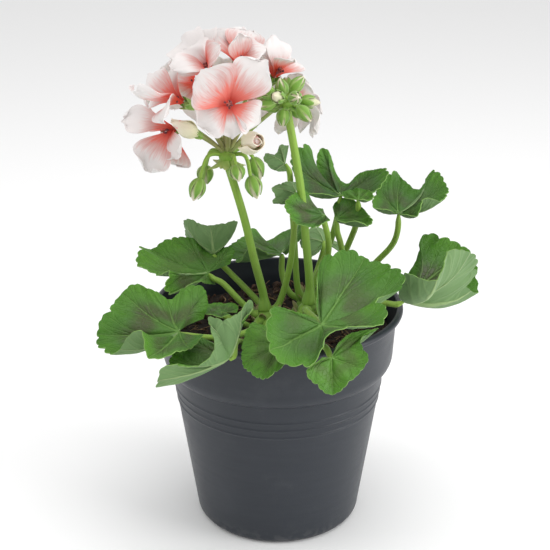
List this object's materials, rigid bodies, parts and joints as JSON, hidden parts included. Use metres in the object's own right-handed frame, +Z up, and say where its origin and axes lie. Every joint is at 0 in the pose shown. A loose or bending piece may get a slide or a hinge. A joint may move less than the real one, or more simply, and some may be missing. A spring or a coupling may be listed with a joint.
{
  "type": "potted geranium",
  "caption": "Zonal geranium with an open flower head and a head in bud on upright stalks above cupped round leaves, growing in a round tapered plastic nursery pot.",
  "frame": {"origin": "middle of the pot's underside, on the surface the pot stands on", "axes": "+Z up, -Y towards the side the open flower head faces, +X to the viewer's right from there"},
  "size_m": [0.1773, 0.1366, 0.2441],
  "materials": {
    "pot_plastic": "dark anthracite injection-moulded plastic, satin, with a glossier rolled lip",
    "potting_soil": "moist dark peat compost with bark fibres, rough",
    "stem": "light green herbaceous stem with short pale hairs",
    "leaf": "soft green leaf with a faint darker zone, pale veins and a downy margin; greyer green beneath",
    "petal": "satin white to pale pink petal with coral red streaks from the throat",
    "bud": "green sepals with pale margins round a cream bud"
  },
  "bodies": {
    "root": {"bud_hanging_left": "bud", "bud_hanging_left_back": "bud", "bud_hanging_middle": "bud", "bud_hanging_right": "bud", "bud_hanging_right_back": "bud", "bud_opening_left": "petal", "bud_opening_right": "petal", "buds_and_pedicels_bud_head": "bud", "crown": "stem", "flower_back_left": "petal", "flower_back_right": "petal", "flower_front": "petal", "flower_left": "petal", "flower_low_left": "petal", "flower_right": "petal", "flower_top_centre": "petal", "flower_top_left": "petal", "flower_top_right": "petal", "leaf_back_inner": "leaf", "leaf_back_low": "leaf", "leaf_back_tall": "leaf", "leaf_front_big": "leaf", "leaf_front_low": "leaf", "leaf_front_side": "leaf", "leaf_left_big": "leaf", "leaf_left_folded": "leaf", "leaf_left_inner": "leaf", "leaf_left_upper": "leaf", "leaf_mid_left": "leaf", "leaf_mid_right": "leaf", "leaf_right_cup": "leaf", "leaf_right_upper": "leaf", "leaf_rim_cupped": "leaf", "leaf_stalk_scalloped": "leaf", "leaf_stalk_toothed": "leaf", "leaf_young": "leaf", "pedicels_open_head": "stem", "petiole_back_inner": "stem", "petiole_back_low": "stem", "petiole_back_tall": "stem", "petiole_front_big": "stem", "petiole_front_low": "stem", "petiole_front_side": "stem", "petiole_left_big": "stem", "petiole_left_folded": "stem", "petiole_left_inner": "stem", "petiole_left_upper": "stem", "petiole_mid_left": "stem", "petiole_mid_right": "stem", "petiole_right_cup": "stem", "petiole_right_upper": "stem", "petiole_rim_cupped": "stem", "petiole_stalk_scalloped": "stem", "petiole_stalk_toothed": "stem", "petiole_young": "stem", "pot": "pot_plastic", "soil": "potting_soil", "stalk_bud_head": "stem", "stalk_open_head": "stem"}
  },
  "joints": []
}
